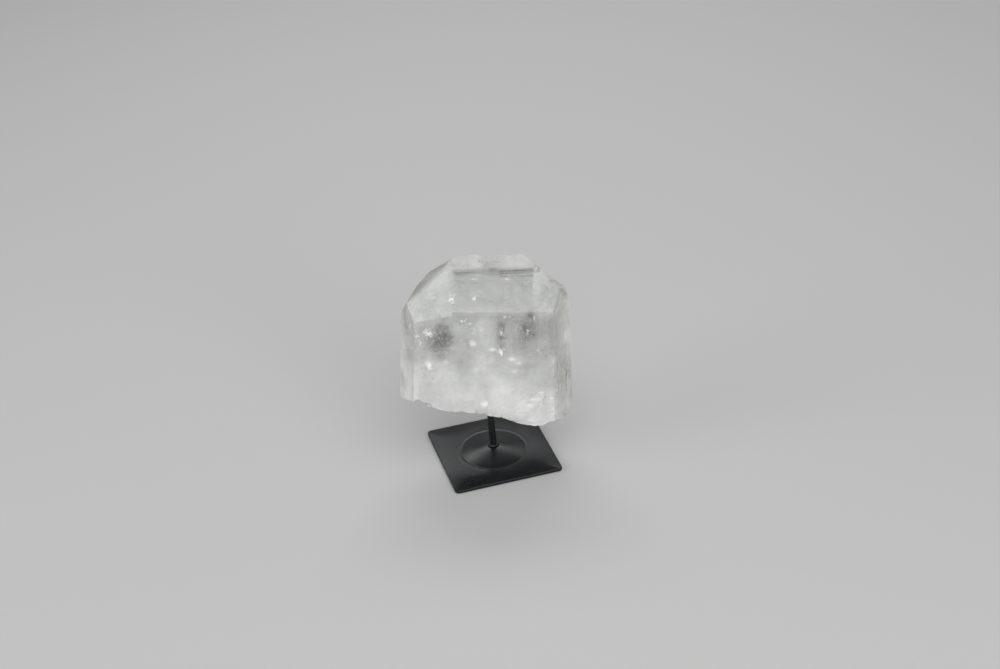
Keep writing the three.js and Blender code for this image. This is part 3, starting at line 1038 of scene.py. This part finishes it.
def makeCrack(seed, across, up, depth, slant, lean, halfWidth, halfHeight, strength, envelope):
    middle = behindFront(across, up, depth, slopeAt(up))
    place = Matrix.Translation(middle) @ rotation(-slant, "Y") @ rotation(lean, "X")
    crack = rippledSheet(seed, haze["crack cell"], halfWidth, halfHeight, haze["crack waves"],
                         place, envelope)
    back = place.inverted()
    amounts = []
    for vertex in crack.data.vertices:
        own = back @ vertex.co
        x, z = own.x / halfWidth, own.z / halfHeight
        turn = Vector((x, z, 0)).normalized() * haze["arm turn"]
        arms = 1 + haze["splash arms"] * noise.noise(turn + Vector((0, 0, 2.3 * seed)))
        share = strength * max(0.0, 1 - math.hypot(x, z) * max(1.0, arms))
        amounts.append(min(haze["splash most"], share))
    setHaze(crack, amounts)
    return crack


def makeSplashes(envelope):
    pieces = []
    spread = haze["splash spread"]
    for index, (across, up, depth, halfWidth, halfHeight, slant, strength) in enumerate(haze["splashes"]):
        lean = 0 if up < crystal["shoulder"] else haze["tip lean"]
        pieces.append(makeCrack(90 + index, across, up, depth, slant, lean, spread * halfWidth,
                                spread * halfHeight, haze["splash gain"] * strength, envelope))
    material = filmMaterial("whiteSplash", torn, haze["splash colours"], haze["splash grain"],
                            haze["splash glow"])
    return makeFilm("splashes", pieces, material)


def makeVeils(envelope):
    sheets = []
    for index, (across, up, depth, slant, halfWidth, halfDepth, strength) in enumerate(haze["cracks"]):
        sheets.append(makeCrack(60 + index, across, up, depth, slant, haze["crack lean"],
                                halfWidth, halfDepth, strength, envelope))
    for index, (*shape, strength, fade) in enumerate(haze["sheets"]):
        sheet = makeSheet(index, haze["cell"], *shape, envelope)
        lean, turn, middle, halfWidth, halfHeight, _ = shape
        back = (sheetMatrix(lean, turn, middle) @ Matrix.Diagonal((halfWidth, 1, halfHeight, 1))).inverted()
        setHaze(sheet, [hazeAt(vertex.co, back @ vertex.co, strength, fade)
                        for vertex in sheet.data.vertices])
        sheets.append(sheet)
    material = filmMaterial("milkyVeil", clouded(*haze["clouds"]), haze["milk"], haze["grain"])
    return makeFilm("veils", sheets, material)


# a dark sheet of painted shade behind the clear windows
def makePaintedShade(envelope):
    sheet = makeSheet(40, paintedShade["cell"], *paintedShade["sheet"], envelope)
    setHaze(sheet, [paintedShadeAt(vertex.co) for vertex in sheet.data.vertices])
    material = filmMaterial("paintedShadeFilm", clouded(*paintedShade["clouds"]), paintedShade["colours"], paintedShade["grain"])
    return makeFilm("paintedShade", [sheet], material)


envelopePiece = makeEnvelope()
filmPieces = [makeVeils(envelopePiece), makeSplashes(envelopePiece), makePaintedShade(envelopePiece)]
# the film counted last is the dark film of painted shade
print("veils, splashes and smoky film:", sum(len(piece.data.polygons) for piece in filmPieces), "faces")


# flecks: small bright flakes on healed cracks, small dark flakes of painted shade in the clear windows, and
# rows of dark bars of painted reflection

flecks = {
    # across, up, spread across, spread up, how many, size, depth below the front
    "bright": [
        (-42, 61.5, 4.6, 3.4, 76, 1.1, 2.5), (-25.4, 83.7, 2.7, 3.4, 46, 1.3, 2),
        (-42.4, 37, 4.1, 4.4, 92, 1.2, 2.5), (-39.5, 85.4, 6.8, 6, 69, 0.9, 2.5),
        (-5.2, 63, 2, 2.4, 23, 1, 3), (-11.4, 52.7, 3.1, 4.1, 57, 1.1, 2.6), (1.6, 48, 5.1, 2, 57, 1.1, 3),
        (8.5, 45.5, 2.7, 5.1, 69, 1.15, 2.5), (20.5, 37, 3.1, 1.7, 34, 1.1, 2.5),
        (14.8, 40.5, 4.8, 2, 64, 1.15, 2.5), (45.6, 38.4, 3.1, 4.4, 64, 1.15, 2.5),
        (47, 30, 3.4, 6.8, 87, 1.15, 2.5), (51.4, 33, 2.4, 6.8, 57, 1, 6.5),
        (-4.4, 6.2, 3.2, 3.2, 103, 1.5, 2.5), (-10.1, 33, 4.4, 2.4, 41, 0.8, 3), (17, 31, 5.1, 1.5, 46, 1, 3),
        (31, 9, 12, 8, 200, 1, 2.2), (27, 4, 6, 2.5, 90, 1.1, 2), (36, 14, 6, 3, 90, 1, 2),
        (44, 9, 5, 3.4, 90, 1, 2.2), (-30, 44, 8, 1.2, 40, 0.6, 5), (14, 95, 6.1, 3.4, 51, 0.8, 14),
        (-9.5, 84, 3.1, 2.4, 30, 0.9, 3), (-8, 95, 3.7, 2.4, 28, 0.7, 12), (31.8, 90, 0.9, 6.5, 34, 0.55, 3),
        (31.6, 71, 0.5, 3.2, 30, 0.7, 2), (20, 65, 6, 6, 30, 0.5, 6), (-34.5, 57, 6, 7, 60, 0.55, 2.4),
        (-18, 70.5, 6, 2.6, 34, 0.8, 2.4), (26.5, 62, 6.5, 8, 90, 0.6, 2.2), (8.6, 60, 3.6, 9, 70, 0.6, 2.2),
        (14.5, 72, 6, 1.8, 30, 0.8, 2.2), (-48, 55, 2.2, 5, 40, 0.8, 4), (6, 88, 0.6, 7, 10, 0.4, 4),
    ],
    # the dark flakes are painted shade, gathered where the clear windows look dark
    "dark": [
        (-33.2, 56.5, 6.5, 6.5, 180, 0.9, 2.6), (-32, 67, 3.6, 3, 90, 0.8, 2.6),
        (-38.5, 50.5, 4, 3.4, 60, 0.7, 2.6), (-29.5, 72.5, 3.4, 2, 34, 0.7, 2.6),
        (9, 66, 2.6, 3.6, 100, 0.9, 2.4), (8.2, 57, 2, 3.2, 70, 0.85, 2.4), (8, 50, 1.4, 2.4, 40, 0.85, 2.4),
        (25.5, 64, 4.4, 5, 200, 0.9, 2.4), (30.5, 58, 4, 3.6, 90, 0.8, 2.4),
        (28.5, 72.6, 3.2, 2, 80, 0.9, 2.2), (15.5, 71.8, 7, 1.6, 60, 0.6, 3), (-52, 45, 0.9, 2.6, 30, 0.7, 8),
        (-54.3, 52, 0.8, 2.6, 24, 0.7, 9), (51.3, 64, 1, 3.4, 40, 0.7, 15), (-33, 43.5, 6, 3.6, 70, 0.6, 3.5),
        (-21, 34, 4, 3, 40, 0.6, 4), (43, 46, 1.8, 1.4, 14, 0.6, 3), (12, 3, 3.6, 1.6, 30, 0.7, 3),
        (3, 100, 3, 2.6, 26, 0.7, 5),
    ],
    "share": 1.1, "spread": 0.75, "grow": 1.35, "behind": (0.75, 1.3),
    "small": (0.25, 0.65), "larger": 0.8, "larger within": 4,  # the large ones lie in the middle
    "loose": 320, "loose reach": (58, 21), "loose heights": (-6, 100), "loose size": (0.2, 0.8),
    "sides": 5, "thick": 0.10, "long": (0.6, 1), "wide": (0.35, 0.8), "tilt": 0.7,
    # the bright flecks glow a little, a painted glint
    "grain": 1200.0, "paintedGlint": 0.3, "rough": (0.1, 0.4),
    "bright colours": ((0.93, 0.94, 0.93), (0.98, 0.98, 0.96)),
}
# dark bars of painted reflection: the dark that small ledges on the tip would mirror
ledgeReflections = {
    # rows of painted dark reflections under the tip: from and to across, height, share that shows, and
    # tallness
    "rows": [
        (-23.8, -17.2, 100.5, 0.97, 1.4), (-23.8, -16.8, 99, 0.95, 1.2), (-23.4, -16, 97.8, 0.85, 0.8),
        (-17.2, -6.5, 100.7, 0.85, 0.9), (-16.8, -9, 98.9, 0.75, 0.9), (-6, -1, 99.6, 0.35, 0.7),
        (2.4, 6.4, 101, 0.8, 0.9), (2, 6.4, 99.8, 0.85, 0.9), (3.4, 6.6, 98.5, 0.7, 0.8),
        (8.4, 31.9, 99.3, 0.96, 1.9), (8.6, 31.8, 97.8, 0.75, 0.8), (9, 31.7, 96.2, 0.92, 1.2),
        (9.5, 24, 95, 0.45, 0.7), (-25.2, -17.6, 94.5, 0.65, 0.7), (-21, -16, 93.2, 0.7, 0.7),
        (-13.4, -6.4, 92.8, 0.7, 0.6), (-24.5, -17, 91, 0.5, 0.6), (-6, 3, 94, 0.3, 0.6),
        (21.5, 27, 93.4, 0.6, 0.7), (22.6, 30, 92, 0.6, 0.6), (23, 30, 90.2, 0.7, 0.7),
        (24, 29, 88.6, 0.6, 0.6), (25.5, 29.5, 87.3, 0.6, 0.6), (9.5, 21, 89.2, 0.35, 0.5),
        (-20, -8, 88, 0.25, 0.5), (8, 20, 92, 0.35, 0.6),
    ],
    "depth": 2.4, "length": (0.4, 1.1), "gap": (0.98, 1.3), "thick": 0.12,
    "astray": 0.12, "tall": (0.7, 1.15),
    # the shape of a bar, in halves of its length and height
    "rim": [(-1, 0), (-0.7, -1), (0.6, -0.8), (1, 0.1), (0.5, 1), (-0.6, 0.7)],
    "colours": ((0.07, 0.073, 0.071), (0.19, 0.194, 0.19)),
}


def flakeMaterial(name, colours, paintedGlint=0.0):
    made, tree = newMaterial(name)
    grain = noiseOn(tree, objectCoords(tree), flecks["grain"])
    surface = addNode(tree, "ShaderNodeBsdfPrincipled", {
        "Base Color": (mixed(tree, *colours, grain), "Result"),
        "Roughness": mapRange(tree, grain, *noiseSpan, *flecks["rough"]),
        "Emission Color": paintedGlintColour, "Emission Strength": paintedGlint,
    })
    output(tree, surface)
    return made


def addFlake(points, faces, lower, upper):
    start, sides = len(points), len(lower)
    points.extend((*lower, *upper))
    low, high = range(start, start + sides), range(start + sides, start + 2 * sides)
    faces.append(tuple(reversed(low)))
    faces.append(tuple(high))
    for k in range(sides):
        after = (k + 1) % sides
        faces.append((low[k], low[after], high[after], high[k]))


def makeFlakes(name, points, faces, material):
    data = bpy.data.meshes.new(name)
    data.from_pydata(points, [], faces)
    ob = bpy.data.objects.new(name, data)
    bpy.context.scene.collection.objects.link(ob)
    dress(ob, material)
    seat(ob, stance)
    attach(ob, "root")
    return ob


def clusterSpots(clusters, draw):
    for across, up, spreadX, spreadZ, count, size, depth in clusters:
        for _ in range(round(flecks["share"] * count)):
            away = abs(draw.gauss(0, flecks["spread"]))
            turn = draw.uniform(0, 2 * math.pi)
            x, z = across + away * spreadX * math.cos(turn), up + away * spreadZ * math.sin(turn)
            behind = depth * draw.uniform(*flecks["behind"])
            grow = draw.uniform(*flecks["small"])
            grow += flecks["larger"] * draw.random() * math.exp(-flecks["larger within"] * away * away)
            yield behindFront(x, z, behind, slopeAt(up)), flecks["grow"] * size * grow


def looseSpots(draw):
    width, depth = flecks["loose reach"]
    for _ in range(flecks["loose"]):
        place = Vector((draw.uniform(-width, width), draw.uniform(-depth, depth),
                        draw.uniform(*flecks["loose heights"])))
        yield place, draw.uniform(*flecks["loose size"])


def fleckRim(draw):
    for k in range(flecks["sides"]):
        turn = 2 * math.pi * k / flecks["sides"]
        yield Vector((math.cos(turn) * draw.uniform(*flecks["long"]),
                      math.sin(turn) * draw.uniform(*flecks["wide"]), 0))


def makeFlecks(name, spots, material, envelope, draw):
    points, faces = [], []
    for middle, size in spots:
        if inside(envelope, middle):
            spin = Matrix.Rotation(draw.uniform(0, 2 * math.pi), 3, "Y") @ Matrix.Rotation(
                draw.gauss(math.pi / 2, flecks["tilt"]), 3, "X")
            rim = [corner * size / 2 for corner in fleckRim(draw)]
            half = Vector((0, 0, flecks["thick"] / 2))
            addFlake(points, faces, [middle + spin @ (corner - half) for corner in rim],
                     [middle + spin @ (corner + half) for corner in rim])
    return makeFlakes(name, points, faces, material)


def ledgeReflectionSpots(draw):
    for start, end, height, share, tall in ledgeReflections["rows"]:
        x = start
        while x < end:
            length = draw.uniform(*ledgeReflections["length"])
            if draw.random() < share:
                up = height + draw.gauss(0, ledgeReflections["astray"])
                middle = behindFront(x + length / 2, up, ledgeReflections["depth"], haze["tip slope"])
                yield middle, length, tall * draw.uniform(*ledgeReflections["tall"])
            x += length * draw.uniform(*ledgeReflections["gap"])


# the bars are dark flakes of painted reflection, not ledges cut in the surface
def makeLedgeReflections(envelope):
    points, faces = [], []
    half = Vector((0, ledgeReflections["thick"] / 2, 0))
    for middle, length, height in ledgeReflectionSpots(random.Random(21)):
        if inside(envelope, middle):
            rim = [middle + Vector((x * length / 2, 0, z * height / 2)) for x, z in ledgeReflections["rim"]]
            addFlake(points, faces, [corner + half for corner in rim], [corner - half for corner in rim])
    return makeFlakes("ledgeReflections", points, faces, flakeMaterial("paintedLedgeReflection", ledgeReflections["colours"]))


fleckDraw = random.Random(5)
brightSpots = [*clusterSpots(flecks["bright"], fleckDraw), *looseSpots(fleckDraw)]
brightFlake = flakeMaterial("brightFlake", flecks["bright colours"], flecks["paintedGlint"])
brightPiece = makeFlecks("flecks", brightSpots, brightFlake, envelopePiece, fleckDraw)
# dark flakes of painted shade, in the colours of the dark film
paintedShadeSpots = list(clusterSpots(flecks["dark"], fleckDraw))
paintedShadeFlake = flakeMaterial("paintedShadeFlake", paintedShade["colours"])
darkPiece = makeFlecks("paintedShadeFlecks", paintedShadeSpots, paintedShadeFlake, envelopePiece, fleckDraw)
ledgePiece = makeLedgeReflections(envelopePiece)
bpy.data.objects.remove(envelopePiece)
flakePieces = [brightPiece, darkPiece, ledgePiece]
print("flecks and ledges:", sum(len(piece.data.polygons) for piece in flakePieces), "faces")
